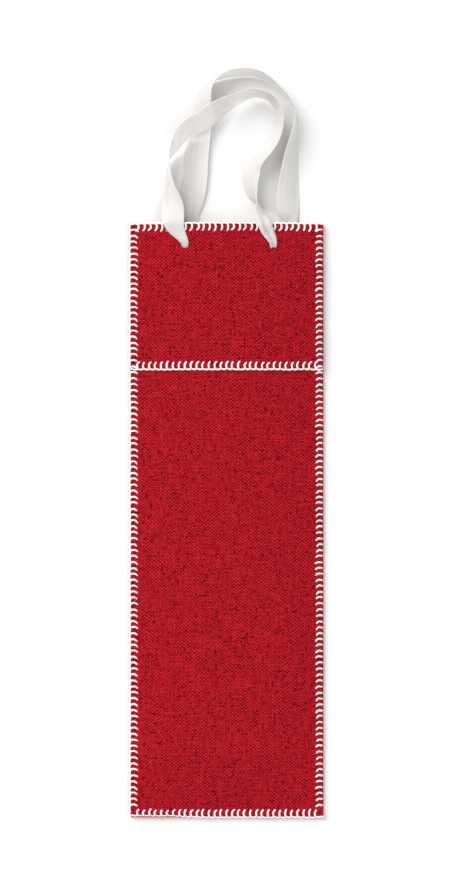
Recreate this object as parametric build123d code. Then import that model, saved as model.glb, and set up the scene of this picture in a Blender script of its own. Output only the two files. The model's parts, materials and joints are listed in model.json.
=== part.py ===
from build123d import *
import os
from math import atan2, cos, degrees, pi, radians, sin, sqrt

# Wine gift bag, empty, lying on its back: X across the bag, Y from the bottom seam towards the
# handles, Z up from the surface it lies on. Millimetres. The origin is on that surface, at the
# centre of the whole object's footprint, handles included.

# ---------------------------------------------------------------- driving dimensions
bag_width = 130.0          # flat width, raw edge to raw edge
bag_height = 400.0         # bottom raw edge to top raw edge
cloth = 0.8                # thickness of the woven jute
fullness = 7.5             # how far the front panel bows up off the back panel
seam_margin = 5.0          # flat stitched margin at the sides and the bottom
bottom_closing = 45.0      # length over which the bow dies away towards the bottom seam
closing_marks = (0.2, 0.5, 1.0)   # where that length has a cross section of its own
cuff_height = 97.5         # depth of the band round the top of the bag
cuff_step = 1.0            # length of the step where the panels drop off the cuff's edge

thread = 1.2               # diameter of the cotton yarn
thread_flat = 0.6          # height of a stitch where it lies pressed on the cloth
stitch_pitch = 4.0
stitch_bite = 4.5          # depth of a stitch from the raw edge
stitch_ease = 0.01         # a stitch inside the mouth clears the curved cloth by this
mouth_room = 1.5           # the mouth has stitches inside it where its two faces are this far apart
side_stitch_above_cuff_edge = 1.2

ribbon_width = 16.0
ribbon_thickness = 0.4
ribbon_gap = 0.1           # between the ribbon and the stitches that lie on it
hole_radius = 2.4
hole_clearance = 0.2       # between a hole and the gathered ribbon in it
hole_inset = 35.25         # hole from the bag's side edge, before the shifts
front_hole_shift = 1.35    # both holes of the front panel, to the right
back_hole_shift = 5.25     # both holes of the back panel, to the right
front_hole_drop = 14.4     # hole below the top edge
back_hole_drop = 21.0

knot_radius = 4.5
knot_height = 4.8          # a knot is flatter where the panels leave less room
knot_clearance = 0.25
knot_rounding = 0.42       # radius of a knot's rounded rim, as a share of its height
knot_offset = 3.0          # centre of a knot from its hole, up on the front and down on the back
tail_length = 12.0
tail_width = 7.0
tail_thickness = 0.8

front_loop_height = 87.5   # centre line of the front loop's top above the bag
back_loop_height = 102.4
face_clearance = 0.5       # ribbon above the cuff's face beside its hole
turning_room = 0.35        # front hinge above the ribbon's ends, which turn over clear of the cuff
hinge_gap = 1.2            # between a back lead and the handle that goes on from it
samples_per_station = 3

# ---------------------------------------------------------------- worked out from those
half_width = bag_width / 2
half_span = half_width - seam_margin
top_edge = bag_height / 2
bottom_edge = -bag_height / 2
cuff_edge = top_edge - cuff_height
hole_reach = half_width - hole_inset

lead_top = ribbon_thickness
stitch_floor = lead_top + ribbon_gap
back_floor = stitch_floor + thread_flat    # underside of the outermost layer of the back
panel_floor = back_floor + cloth           # underside of the back panel where the cuff is
inside_floor = panel_floor + cloth         # inside face of the back panel in the cuff
cuff_seat = inside_floor + cloth           # margin of the front cuff on the front panel
front_top = cuff_seat + cloth              # outer face of the front cuff at its margins
low_inside_floor = back_floor + cloth      # inside face of the back panel below the cuff

step_high = cuff_edge - thread             # the panels start to drop below the purl
step_low = step_high - cuff_step

# Stations of the ribbons' centre lines, left hole to right hole. Each one is: across, as a share
# of the holes' reach; up from the top edge, as a share of the loop's height, or in millimetres
# over the bag; height of the lower edge, as a share of the ribbon's width over the surface that
# the bag lies on, or in millimetres over the bag's face; roll in degrees; share of the ribbon's
# width, less than 1 where it is gathered.
FRONT_ON_BAG_LEFT = [
    (-1.000, -front_hole_drop, face_clearance, -8, 0.30),
    (-1.090, -7.9, 1.0, -8, 0.46),
    (-1.235, -0.3, 1.3, -9, 0.82),
]
FRONT_LOOP = [
    (-1.280, 0.096, 0.487, -15, 1.0),
    (-1.340, 0.251, 0.163, -56, 1.0),
    (-1.340, 0.502, 0.125, -90, 1.0),
    (-1.215, 0.598, 0.188, -112, 1.0),
    (-0.963, 0.726, 0.344, -130, 1.0),
    (-0.640, 0.785, 0.469, -140, 1.0),
    (-0.267, 0.878, 0.406, -133, 1.0),
    (0.125, 0.950, 0.344, -120, 1.0),
    (0.546, 1.000, 0.281, -114, 1.0),
    (0.909, 0.973, 0.219, -108, 1.0),
    (1.131, 0.880, 0.188, -106, 1.0),
    (1.165, 0.775, 0.156, -106, 1.0),
    (1.096, 0.675, 0.125, -109, 1.0),
    (0.892, 0.575, 0.094, -116, 1.0),
    (0.624, 0.482, 0.062, -130, 1.0),
    (0.476, 0.391, 0.050, -145, 1.0),
    (0.482, 0.294, 0.062, -122, 1.0),
    (0.630, 0.174, 0.125, -90, 1.0),
    (0.734, 0.104, 0.362, -58, 0.80),
]
FRONT_ON_BAG_RIGHT = [
    (0.800, 0.9, 1.4, -20, 0.62),
    (0.886, -5.7, 1.1, -12, 0.53),
    (1.000, -front_hole_drop, face_clearance, -8, 0.30),
]
BACK_LOOP = [
    (-1.017, 0.129, 0.0, -3, 1.0),
    (-0.903, 0.273, 0.0, -8, 1.0),
    (-0.862, 0.458, 0.0, -10, 1.0),
    (-0.778, 0.676, 0.0, -25, 1.0),
    (-0.711, 0.808, 0.0, -47, 1.0),
    (-0.496, 0.933, 0.0, -82, 1.0),
    (-0.200, 0.981, 0.0, -107, 1.0),
    (0.187, 1.000, 0.0, -114, 1.0),
    (0.573, 0.986, 0.0, -109, 1.0),
    (0.966, 0.906, 0.0, -101, 1.0),
    (1.336, 0.762, 0.0, -90, 1.0),
    (1.380, 0.643, 0.0, -77, 1.0),
    (1.303, 0.491, 0.0, -59, 1.0),
    (1.232, 0.307, 0.0, -40, 1.0),
    (1.208, 0.129, 0.0, -20, 1.0),
]
BACK_RIM = {-1: (-1.071, 0.82), 1: (1.222, 0.73)}   # across and width share at the top edge


# ---------------------------------------------------------------- helpers
def block(low, high):
    """A box from its lowest corner to its highest corner."""
    size = [b - a for a, b in zip(low, high)]
    middle = [(a + b) / 2 for a, b in zip(low, high)]
    return Pos(*middle) * Box(*size)


def bow_radius(sagitta):
    return (half_span**2 + sagitta**2) / (2 * sagitta)


def bow(x):
    """Height of the front panel's bow at x, above its flat margins."""
    if abs(x) >= half_span:
        return 0.0
    radius = bow_radius(fullness)
    return sqrt(radius**2 - x**2) - (radius - fullness)


def bow_tilt(x):
    """Slope of the bow at x, in degrees about +Y."""
    if abs(x) >= half_span:
        return 0.0
    return degrees(atan2(x, sqrt(bow_radius(fullness) ** 2 - x**2)))


def across_plane(y):
    """The plane across the bag at y: local X is X and local Y is Z."""
    return Plane(origin=(0, y, 0), x_dir=(1, 0, 0), z_dir=(0, -1, 0))


def span(start, end, height, sagitta):
    """The stretch between the margins: an arc, or a straight line where the bow has closed."""
    if sagitta == 0:
        return Line((start, height), (end, height))
    return ThreePointArc((start, height), (0, height + sagitta), (end, height))


def bowed_band(y, base, thickness, sagitta):
    """Cross section of a sheet that bows up between its two flat margins, or is flat."""
    lower, upper = base, base + thickness
    outline = [
        Line((-half_width, lower), (-half_span, lower)),
        span(-half_span, half_span, lower, sagitta),
        Line((half_span, lower), (half_width, lower)),
        Line((half_width, lower), (half_width, upper)),
        Line((half_width, upper), (half_span, upper)),
        span(half_span, -half_span, upper, sagitta),
        Line((-half_span, upper), (-half_width, upper)),
        Line((-half_width, upper), (-half_width, lower)),
    ]
    return across_plane(y) * make_face(outline)


def hole_x(shift, side):
    return shift + side * hole_reach


def holes(shift, drop):
    """Cutters for the two handle holes of one face of the bag."""
    cutter = Cylinder(hole_radius, 2 * (front_top + fullness + ribbon_width))
    return [Pos(hole_x(shift, side), top_edge - drop, 0) * cutter for side in (-1, 1)]


# ---------------------------------------------------------------- cloth
def front_panel():
    """The front sheet: flat margins, a bow between them that closes at the bottom seam."""
    closing_start = bottom_edge + seam_margin
    sections = [(bottom_edge, low_inside_floor, 0), (closing_start, low_inside_floor, 0)]
    for share in closing_marks:
        y = closing_start + share * bottom_closing
        sections.append((y, low_inside_floor, fullness * sin(share * pi / 2)))
    sections.append((step_low, low_inside_floor, fullness))
    sections.append((step_high, inside_floor, fullness))
    sections.append((top_edge, inside_floor, fullness))
    sheet = loft([bowed_band(y, base, cloth, bulge) for y, base, bulge in sections], ruled=True)
    return sheet - holes(front_hole_shift, front_hole_drop)


def back_panel():
    """The back sheet, flat, stepping up where it passes over the back cuff's edge."""
    outline = Polyline(
        (bottom_edge, back_floor),
        (step_low, back_floor),
        (step_high, panel_floor),
        (top_edge, panel_floor),
        (top_edge, inside_floor),
        (step_high, inside_floor),
        (step_low, low_inside_floor),
        (bottom_edge, low_inside_floor),
        close=True,
    )
    sheet = extrude(Plane.YZ * make_face(outline), half_width, both=True)
    return sheet - holes(back_hole_shift, back_hole_drop)


def front_cuff():
    """The band stitched over the front of the mouth."""
    band = extrude(bowed_band(top_edge, cuff_seat, cloth, fullness), cuff_height)
    return band - holes(front_hole_shift, front_hole_drop)


def back_cuff():
    """The same band on the back, under the back panel as the bag lies."""
    band = block((-half_width, cuff_edge, back_floor), (half_width, top_edge, panel_floor))
    return band - holes(back_hole_shift, back_hole_drop)


# ---------------------------------------------------------------- blanket stitching
def tooth(stack, over=True, under=True):
    """One stitch round an edge: local X runs into the cloth, Z from the stack's underside up."""
    half = thread / 2
    top = stack + thread_flat if over else stack / 2
    bottom = -thread_flat if under else stack / 2
    piece = block((-thread, -half, bottom), (0, half, top))
    if over:
        piece += block((-thread, -half, stack), (stitch_bite, half, top))
    if under:
        piece += block((-thread, -half, bottom), (stitch_bite, half, -stitch_ease))
    return piece


def joined(purl, teeth):
    """The purl and its stitches as the one thread that they are."""
    return purl.fuse(*teeth)


def row_places(length):
    """Stitch centres along an edge of this length, one pitch apart and centred on it."""
    count = int((length - thread) / stitch_pitch)
    return [(i - (count - 1) / 2) * stitch_pitch for i in range(count)]


def side_places():
    """Stitch centres up a side edge. They are set out both ways from the cuff's edge."""
    first = cuff_edge + side_stitch_above_cuff_edge
    low = bottom_edge + stitch_bite + thread
    high = top_edge - stitch_bite - thread
    below = int((first - low) / stitch_pitch)
    above = int((high - first) / stitch_pitch)
    return [first + i * stitch_pitch for i in range(-below, above + 1)]


def side_stitch(side):
    """The thread up one side: it binds two layers, and four where the cuffs are."""
    turn = 0 if side < 0 else 180
    teeth = []
    for y in side_places():
        stack = 4 * cloth if y > cuff_edge else 2 * cloth
        teeth.append(Location((side * half_width, y, back_floor), (0, 0, turn)) * tooth(stack))
    inner, outer = sorted((side * half_width, side * (half_width + thread)))
    middle = low_inside_floor
    purl = block((inner, bottom_edge, middle - thread / 2), (outer, top_edge, middle + thread / 2))
    return joined(purl, teeth)


def bottom_stitch():
    """The thread along the bottom seam, through both panels."""
    shape = tooth(2 * cloth)
    teeth = [Location((x, bottom_edge, back_floor), (0, 0, 90)) * shape for x in row_places(bag_width)]
    low = low_inside_floor - thread / 2
    purl = block((-half_width, bottom_edge - thread, low), (half_width, bottom_edge, low + thread))
    return joined(purl, teeth)


def front_top_stitch():
    """The thread along the front of the mouth. It follows the bow of the panel and the cuff."""
    stack = 2 * cloth
    teeth = []
    for x in row_places(bag_width):
        room_inside = bow(abs(x) + thread) > mouth_room
        place = Pos(x, top_edge, inside_floor + bow(x)) * Rotation(0, bow_tilt(x), 0)
        teeth.append(place * Rotation(0, 0, -90) * tooth(stack, under=room_inside))
    purl = extrude(bowed_band(top_edge, cuff_seat - thread / 2, thread, fullness), -thread)
    return joined(purl, teeth)


def back_top_stitch():
    """The thread along the back of the mouth."""
    stack = 2 * cloth
    teeth = []
    for x in row_places(bag_width):
        room_inside = bow(abs(x) + thread) > mouth_room
        turned = Pos(x, top_edge, back_floor) * Rotation(0, 0, -90)
        teeth.append(turned * tooth(stack, over=room_inside))
    low = panel_floor - thread / 2
    purl = block((-half_width, top_edge, low), (half_width, top_edge + thread, low + thread))
    return joined(purl, teeth)


def cuff_row_places():
    """Stitch centres along a cuff's edge, clear of the side stitches."""
    return [x for x in row_places(bag_width) if abs(x) < half_width - stitch_bite - thread]


def front_cuff_stitch():
    """The thread along the front cuff's edge, over the cuff only."""
    teeth = []
    for x in cuff_row_places():
        place = Pos(x, cuff_edge, cuff_seat + bow(x)) * Rotation(0, bow_tilt(x), 0)
        teeth.append(place * Rotation(0, 0, 90) * tooth(cloth, under=False))
    purl = extrude(bowed_band(cuff_edge, cuff_seat, thread, fullness), thread)
    return joined(purl, teeth)


def back_cuff_stitch():
    """The thread along the back cuff's edge."""
    shape = tooth(cloth, over=False)
    teeth = [Location((x, cuff_edge, back_floor), (0, 0, 90)) * shape for x in cuff_row_places()]
    low_corner = (-half_width, cuff_edge - thread, panel_floor - thread)
    purl = block(low_corner, (half_width, cuff_edge, panel_floor))
    return joined(purl, teeth)


# ---------------------------------------------------------------- ribbons
def ribbon(stations):
    """A flat ribbon through (centre, roll, width) stations, as a ruled strip of cross sections."""
    path = Spline(*[centre for centre, _, _ in stations])
    steps = (len(stations) - 1) * samples_per_station
    marks = [path.param_at_point(centre) for centre, _, _ in stations]
    sections = []
    for step in range(steps + 1):
        index = min(step // samples_per_station, len(stations) - 2)
        share = step / samples_per_station - index
        place = marks[index] + share * (marks[index + 1] - marks[index])
        blend = share * share * (3 - 2 * share)
        roll = radians(stations[index][1] + blend * (stations[index + 1][1] - stations[index][1]))
        width = stations[index][2] + blend * (stations[index + 1][2] - stations[index][2])
        along = path.tangent_at(place)
        outward = Vector(0, 0, 1).cross(along).normalized()
        up = along.cross(outward)
        edge = outward * cos(roll) + up * sin(roll)
        frame = Plane(origin=path.position_at(place), x_dir=edge, z_dir=along)
        sections.append(frame * Rectangle(width, ribbon_thickness))
    return loft(sections, ruled=True)


def station(x, y, low, roll, share):
    """Centre, roll and width of a cross section whose lower edge is at height low."""
    width = share * ribbon_width
    rise = width / 2 * abs(sin(radians(roll))) + ribbon_thickness / 2 * abs(cos(radians(roll)))
    return ((x, y, low + rise), roll, width)


def on_face(shift, across, up, clearance, roll, share):
    """A station that lies over the front cuff."""
    x = hole_x(shift, across)
    lowest_x = abs(x) + share * ribbon_width / 2
    return station(x, top_edge + up, front_top + bow(lowest_x) + clearance, roll, share)


def over_table(shift, height, across, up, low, roll, share):
    """A station past the top edge, over the surface that the bag lies on."""
    return station(hole_x(shift, across), top_edge + up * height, low * ribbon_width, roll, share)


def front_handle():
    """The front ribbon from hole to hole: it turns over at each side of the loop."""
    stations = [on_face(front_hole_shift, *row) for row in FRONT_ON_BAG_LEFT]
    stations += [over_table(front_hole_shift, front_loop_height, *row) for row in FRONT_LOOP]
    stations += [on_face(front_hole_shift, *row) for row in FRONT_ON_BAG_RIGHT]
    return ribbon(stations)


def back_rim_station(side, y):
    across, share = BACK_RIM[side]
    return station(hole_x(back_hole_shift, across), y, 0, 0, share)


def back_handle():
    """The back ribbon past the top edge, lying on the surface with its lower edge."""
    start = back_hinge_y() + hinge_gap / 2
    stations = [back_rim_station(-1, start)]
    stations += [over_table(back_hole_shift, back_loop_height, *row) for row in BACK_LOOP]
    stations.append(back_rim_station(1, start))
    return ribbon(stations)


def back_lead(side):
    """The back ribbon from its hole to the top edge, flat under the bag."""
    (x, _, _), _, width = back_rim_station(side, 0)
    end = back_hinge_y() - hinge_gap / 2
    neck = hole_radius - hole_clearance
    start_x, start_y = hole_x(back_hole_shift, side), top_edge - back_hole_drop
    outline = Polyline(
        (start_x - neck, start_y),
        (x - width / 2, end),
        (x + width / 2, end),
        (start_x + neck, start_y),
        close=True,
    )
    strip = extrude(make_face(outline), ribbon_thickness)
    round_end = Cylinder(neck, ribbon_thickness, align=(Align.CENTER, Align.CENTER, Align.MIN))
    return strip + Pos(start_x, start_y, 0) * round_end


def knot(shift, drop, side, direction):
    """A ribbon's gathered end: the neck in the hole, the flattened knot and its cut tail."""
    x, y = hole_x(shift, side), top_edge - drop
    furthest = max(abs(x - knot_radius), abs(x + knot_radius))
    room = bow(furthest) - 2 * knot_clearance
    height = min(knot_height, room)
    low = inside_floor + knot_clearance
    if direction > 0:
        low += room - height
    ball = Cylinder(knot_radius, height, align=(Align.CENTER, Align.CENTER, Align.MIN))
    ball = Pos(x, y + direction * knot_offset, low) * fillet(ball.edges(), knot_rounding * height)
    neck_radius = hole_radius - hole_clearance
    middle = low + height / 2
    outer = front_top + bow(abs(x) + hole_radius) if direction > 0 else lead_top
    neck_low, neck_high = sorted((middle, outer))
    neck = Pos(x, y, (neck_low + neck_high) / 2) * Cylinder(neck_radius, neck_high - neck_low)
    tail_low = inside_floor + knot_clearance
    start, end = sorted((x, x + side * (knot_radius + tail_length)))
    tail_y = y + direction * knot_offset - tail_width / 2
    tail = block((start, tail_y, middle), (end, tail_y + tail_width, middle + tail_thickness))
    room_at_end = bow(abs(x) + knot_radius + tail_length) - 2 * knot_clearance
    drop_to = min(middle, tail_low + room_at_end - tail_thickness)
    return ball + neck + Pos(0, 0, drop_to - middle) * tail


# ---------------------------------------------------------------- hinge lines
def back_hinge_y():
    """The back ribbon turns about the edge of the mouth, just clear of its purl."""
    return top_edge + thread + ribbon_thickness


def front_hinge():
    """The front ribbon turns about the line through its two holes, just over its own two ends."""
    ends = [on_face(front_hole_shift, *row) for row in (FRONT_ON_BAG_LEFT[0], FRONT_ON_BAG_RIGHT[-1])]
    heights = [centre[2] for centre, _, _ in ends]
    return (0, top_edge - front_hole_drop, max(heights) + turning_room)


def back_hinge():
    return (0, back_hinge_y(), ribbon_thickness / 2)


nodes = {
    "front_panel": front_panel(),
    "back_panel": back_panel(),
    "front_cuff": front_cuff(),
    "back_cuff": back_cuff(),
    "left_side_stitch": side_stitch(-1),
    "right_side_stitch": side_stitch(1),
    "bottom_stitch": bottom_stitch(),
    "front_top_stitch": front_top_stitch(),
    "back_top_stitch": back_top_stitch(),
    "front_cuff_stitch": front_cuff_stitch(),
    "back_cuff_stitch": back_cuff_stitch(),
    "front_handle": front_handle(),
    "back_handle": back_handle(),
    "back_left_lead": back_lead(-1),
    "back_right_lead": back_lead(1),
    "front_left_knot": knot(front_hole_shift, front_hole_drop, -1, 1),
    "front_right_knot": knot(front_hole_shift, front_hole_drop, 1, 1),
    "back_left_knot": knot(back_hole_shift, back_hole_drop, -1, -1),
    "back_right_knot": knot(back_hole_shift, back_hole_drop, 1, -1),
}

# The frame's origin goes to the centre of the footprint, along the bag.
footprint = nodes["back_handle"].bounding_box()
centre_y = (footprint.max.Y + bottom_edge - thread) / 2
to_frame = Pos(0, -centre_y, 0)

os.makedirs("parts", exist_ok=True)
for name, shape in nodes.items():
    export_step(to_frame * shape, f"parts/{name}.step")

print("footprint centre above the bag's middle", round(centre_y, 3))
for label, (x, y, z) in (("front hinge", front_hinge()), ("back hinge", back_hinge())):
    print(label, round(x, 3), round(y - centre_y, 3), round(z, 3))
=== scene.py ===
"""Wine gift bag, lying on its back: the looks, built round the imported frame.

A tall flat bag of red jute, bound with white blanket stitch, with a cuff at its mouth and two
loops of ivory satin ribbon. Lengths in the dataclasses are millimetres and meshes are metres. X is
across the bag, Y runs from the bottom seam to the loops and Z is up from the table.
"""

import json
import logging
import math
from dataclasses import dataclass, field
from enum import Enum
from typing import Any

import bpy
import numpy as np
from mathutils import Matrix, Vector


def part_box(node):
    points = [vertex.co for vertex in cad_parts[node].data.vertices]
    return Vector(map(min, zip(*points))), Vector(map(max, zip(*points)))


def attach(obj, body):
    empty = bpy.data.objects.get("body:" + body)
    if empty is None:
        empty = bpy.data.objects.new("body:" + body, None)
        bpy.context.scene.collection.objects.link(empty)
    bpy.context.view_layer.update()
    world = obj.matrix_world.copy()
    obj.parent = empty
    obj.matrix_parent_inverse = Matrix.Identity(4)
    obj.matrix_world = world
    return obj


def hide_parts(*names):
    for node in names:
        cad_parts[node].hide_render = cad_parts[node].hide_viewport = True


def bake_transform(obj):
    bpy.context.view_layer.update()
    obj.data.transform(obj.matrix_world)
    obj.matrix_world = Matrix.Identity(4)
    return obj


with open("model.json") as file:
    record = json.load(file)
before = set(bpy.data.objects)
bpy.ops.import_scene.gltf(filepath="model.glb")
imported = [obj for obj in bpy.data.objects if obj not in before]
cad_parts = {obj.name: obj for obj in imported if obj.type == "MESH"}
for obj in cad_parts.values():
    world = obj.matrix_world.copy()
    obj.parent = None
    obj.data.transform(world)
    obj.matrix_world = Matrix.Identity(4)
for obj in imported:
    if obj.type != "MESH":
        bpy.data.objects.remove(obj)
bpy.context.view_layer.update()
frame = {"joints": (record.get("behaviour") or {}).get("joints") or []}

MM = 0.001
LOG = logging.getLogger("wine_gift_bag")
Array = np.ndarray
UP = np.array([0.0, 0.0, 1.0])


class Body(Enum):
    """The bodies that pieces ride on."""

    BAG = "root"
    FRONT_LOOP = "front_handle_body"
    BACK_LOOP = "back_handle_body"


class Slot(Enum):
    """The record's material slots."""

    JUTE = "red_jute_cloth"
    YARN = "white_cotton_yarn"
    SATIN = "ivory_satin_ribbon"


class Side(Enum):
    """A side of the bag, with its sign along X."""

    LEFT = -1
    RIGHT = 1


# ------------------------------------------------------------------ numbers and surfaces
def linear(hex_colour: str) -> tuple[float, float, float, float]:
    """Turns an sRGB hex colour into linear RGBA.

    Args:
        hex_colour: six hex digits.

    Returns:
        Linear red, green, blue and an alpha of 1.
    """
    shares = [int(hex_colour[i : i + 2], 16) / 255 for i in (0, 2, 4)]
    parts = [s / 12.92 if s <= 0.04045 else ((s + 0.055) / 1.055) ** 2.4 for s in shares]
    return (*parts, 1.0)


def ease(share: Array) -> Array:
    """Smooth step: 0 below 0, 1 above 1 and three squares less two cubes between."""
    share = np.clip(share, 0, 1)
    return share * share * (3 - 2 * share)


def unit(vectors: Array) -> Array:
    """Vectors at length 1."""
    return vectors / np.linalg.norm(vectors, axis=-1, keepdims=True)


def spline(values: Array, count: int) -> Array:
    """Smooth curve through points: a cubic on each chord, with bends that match at every point and
    are zero at both ends. The bends solve one linear system in the chords' lengths.

    Args:
        values: one row per point. The first three columns are its place.
        count: how many rows to return, evenly spaced along the chords.

    Returns:
        The sampled curve, with as many columns as values has.
    """
    chords = np.linalg.norm(np.diff(values[:, :3], axis=0), axis=1)
    marks = np.concatenate([[0], np.cumsum(chords)])
    last = len(values) - 1
    inner = np.arange(1, last)
    system = np.zeros((last + 1, last + 1))
    system[[0, last], [0, last]] = 1
    system[inner, inner - 1] = chords[:-1]
    system[inner, inner] = 2 * (chords[:-1] + chords[1:])
    system[inner, inner + 1] = chords[1:]
    slopes = np.diff(values, axis=0) / chords[:, None]
    right = np.zeros_like(values)
    right[inner] = 6 * np.diff(slopes, axis=0)
    bends = np.linalg.solve(system, right)
    at = np.linspace(0, marks[-1], count)
    chord = np.clip(np.searchsorted(marks, at) - 1, 0, last - 1)
    length = chords[chord][:, None]
    after = (at - marks[chord])[:, None] / length
    before = 1 - after
    straight = before * values[chord] + after * values[chord + 1]
    curved = (before**3 - before) * bends[chord] + (after**3 - after) * bends[chord + 1]
    return straight + curved * length**2 / 6


@dataclass
class Surface:
    """A mesh in the making: points in millimetres, four-cornered faces and their UVs in metres."""

    points: Array
    faces: Array
    uvs: Array
    rawness: Array

    def joined(self, other: "Surface") -> "Surface":
        """Both surfaces as one, with the other's faces numbered after this one's points."""
        return Surface(
            np.concatenate([self.points, other.points]),
            np.concatenate([self.faces, other.faces + len(self.points)]),
            np.concatenate([self.uvs, other.uvs]),
            np.concatenate([self.rawness, other.rawness]),
        )


def grid_faces(
    rows: int, columns: int, wrap_columns: bool = False, wrap_rows: bool = False
) -> tuple[Array, Array]:
    """Faces of a grid of points numbered row by row, each one wound from its column to its row.

    Args:
        rows: points down the grid.
        columns: points across it.
        wrap_columns: the last column joins the first.
        wrap_rows: the last row joins the first.

    Returns:
        The faces' corners, and the same corners in a grid that is one wider where it wraps, by
        which UVs are looked up.
    """
    down, over = np.arange(rows - (not wrap_rows)), np.arange(columns - (not wrap_columns))
    i, j = np.meshgrid(down, over, indexing="ij")
    i, j = i.ravel(), j.ravel()
    corners = np.stack([i, i, i + 1, i + 1], 1), np.stack([j, j + 1, j + 1, j], 1)
    faces = (corners[0] % rows) * columns + corners[1] % columns
    wide = corners[0] * (columns + wrap_columns) + corners[1]
    return faces, wide


def cap_faces(sides: int) -> Array:
    """Faces that close a ring with an even number of points, as the rungs of a ladder across it."""
    i = np.arange(sides // 2 - 1)
    return np.stack([i, i + 1, sides - 2 - i, sides - 1 - i], 1)


def tubes(paths: Array, radius: Array, reference: Array, sides: int, closed: bool = False) -> Surface:
    """Round yarns along paths: at each point a ring in the plane across the path, with one axis
    square to the path and the reference, and the other square to both. Each end is capped.

    Args:
        paths: points of every yarn, as yarns by points by 3.
        radius: the rings' radii, as yarns by points, or rings by sides for a fluted yarn.
        reference: a direction that no path runs along, broadcast over the paths.
        sides: points round each ring, an even number.
        closed: each yarn is a closed loop with no ends.

    Returns:
        All the yarns as one surface, with U once round the yarn and V along it in metres.
    """
    yarns, count, _ = paths.shape
    if closed:
        tangent = unit(np.roll(paths, -1, axis=1) - np.roll(paths, 1, axis=1))
    else:
        tangent = unit(np.gradient(paths, axis=1))
    across = unit(np.cross(np.broadcast_to(reference, tangent.shape), tangent))
    upward = np.cross(tangent, across)
    turn = 2 * np.pi * np.arange(sides) / sides
    ring = across[:, :, None] * np.cos(turn)[:, None] + upward[:, :, None] * np.sin(turn)[:, None]
    points = paths[:, :, None] + np.broadcast_to(radius, (yarns, count, sides))[..., None] * ring
    faces, wide = grid_faces(count, sides, wrap_columns=True, wrap_rows=closed)
    steps = np.linalg.norm(np.diff(paths, axis=1), axis=2)
    along = np.concatenate([np.zeros((yarns, 1)), np.cumsum(steps, axis=1)], axis=1)
    if closed:
        ends = np.linalg.norm(paths[:, 0] - paths[:, -1], axis=1)
        along = np.concatenate([along, (along[:, -1] + ends)[:, None]], axis=1)
    round_share = np.arange(sides + 1) / sides
    rows = along.shape[1]
    lookup = np.stack(
        [
            np.broadcast_to(round_share, (yarns, rows, sides + 1)),
            np.broadcast_to(along[..., None] * MM, (yarns, rows, sides + 1)),
        ],
        axis=-1,
    ).reshape(yarns, -1, 2)
    uvs = lookup[:, wide]
    if not closed:
        cap = cap_faces(sides)
        caps = np.concatenate([cap[:, ::-1], cap + (count - 1) * sides])
        faces = np.concatenate([faces, caps])
        uvs = np.concatenate([uvs, np.zeros((yarns, len(caps), 4, 2))], axis=1)
    offsets = np.arange(yarns)[:, None, None] * count * sides
    return Surface(
        points.reshape(-1, 3),
        (faces + offsets).reshape(-1, 4),
        uvs.reshape(-1, 4, 2),
        np.zeros(points.size // 3),
    )


def sheet_surface(middle: Array, thickness: float, uv: Array, lip: float = 0.3) -> Surface:
    """A closed sheet round a middle surface: each point goes half the thickness both ways along
    the surface's normal, and a rim of points pushed a little outwards closes the edge.

    Args:
        middle: points of the middle surface, as rows by columns by 3.
        thickness: of the sheet.
        uv: the points' UVs in metres, as rows by columns by 2.
        lip: how far the rim stands out, as a share of the thickness.

    Returns:
        The sheet, upper face first. Its rawness is 1 on the rim and 0 elsewhere.
    """
    rows, columns, _ = middle.shape
    normal = unit(np.cross(np.gradient(middle, axis=1), np.gradient(middle, axis=0)))
    count = rows * columns
    flat, normal, uv = middle.reshape(-1, 3), normal.reshape(-1, 3), uv.reshape(-1, 2)
    index = np.arange(count).reshape(rows, columns)
    border = np.concatenate([index[0, :-1], index[:-1, -1], index[-1, :0:-1], index[:0:-1, 0]])
    i, j = border // columns, border % columns
    inside = np.clip(i, 1, rows - 2) * columns + np.clip(j, 1, columns - 2)
    rim = flat[border] + unit(flat[border] - flat[inside]) * thickness * lip
    points = np.concatenate([flat + normal * thickness / 2, flat - normal * thickness / 2, rim])
    upper, _ = grid_faces(rows, columns)
    k = np.arange(len(border))
    after = (k + 1) % len(border)
    middle_ring, next_ring = 2 * count + k, 2 * count + after
    top_band = np.stack([border, middle_ring, next_ring, border[after]], 1)
    low_band = np.stack([middle_ring, border + count, border[after] + count, next_ring], 1)
    faces = np.concatenate([upper, upper[:, ::-1] + count, top_band, low_band])
    lookup = np.concatenate([uv, uv, uv[border]])
    rawness = np.concatenate([np.zeros(2 * count), np.ones(len(border))])
    return Surface(points, faces, lookup[faces], rawness)


def make_object(name: str, surface: Surface, material: bpy.types.Material) -> bpy.types.Object:
    """Puts a surface into a mesh object at the origin, smooth shaded and dressed.

    Args:
        name: the piece's name.
        surface: its points, faces and UVs.
        material: its finish.

    Returns:
        The new object.
    """
    mesh = bpy.data.meshes.new(name)
    mesh.vertices.add(len(surface.points))
    mesh.vertices.foreach_set("co", (surface.points * MM).astype(np.float32).ravel())
    mesh.loops.add(surface.faces.size)
    mesh.loops.foreach_set("vertex_index", surface.faces.astype(np.int32).ravel())
    mesh.polygons.add(len(surface.faces))
    mesh.polygons.foreach_set("loop_start", np.arange(0, surface.faces.size, 4, dtype=np.int32))
    mesh.update(calc_edges=True)
    mesh.uv_layers.new(name="weave").data.foreach_set("uv", surface.uvs.astype(np.float32).ravel())
    raw = mesh.attributes.new("rawness", "FLOAT", "POINT")
    raw.data.foreach_set("value", surface.rawness.astype(np.float32))
    mesh.validate()
    mesh.shade_smooth()
    mesh.materials.append(material)
    thing = bpy.data.objects.new(name, mesh)
    bpy.context.scene.collection.objects.link(thing)
    return thing


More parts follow.
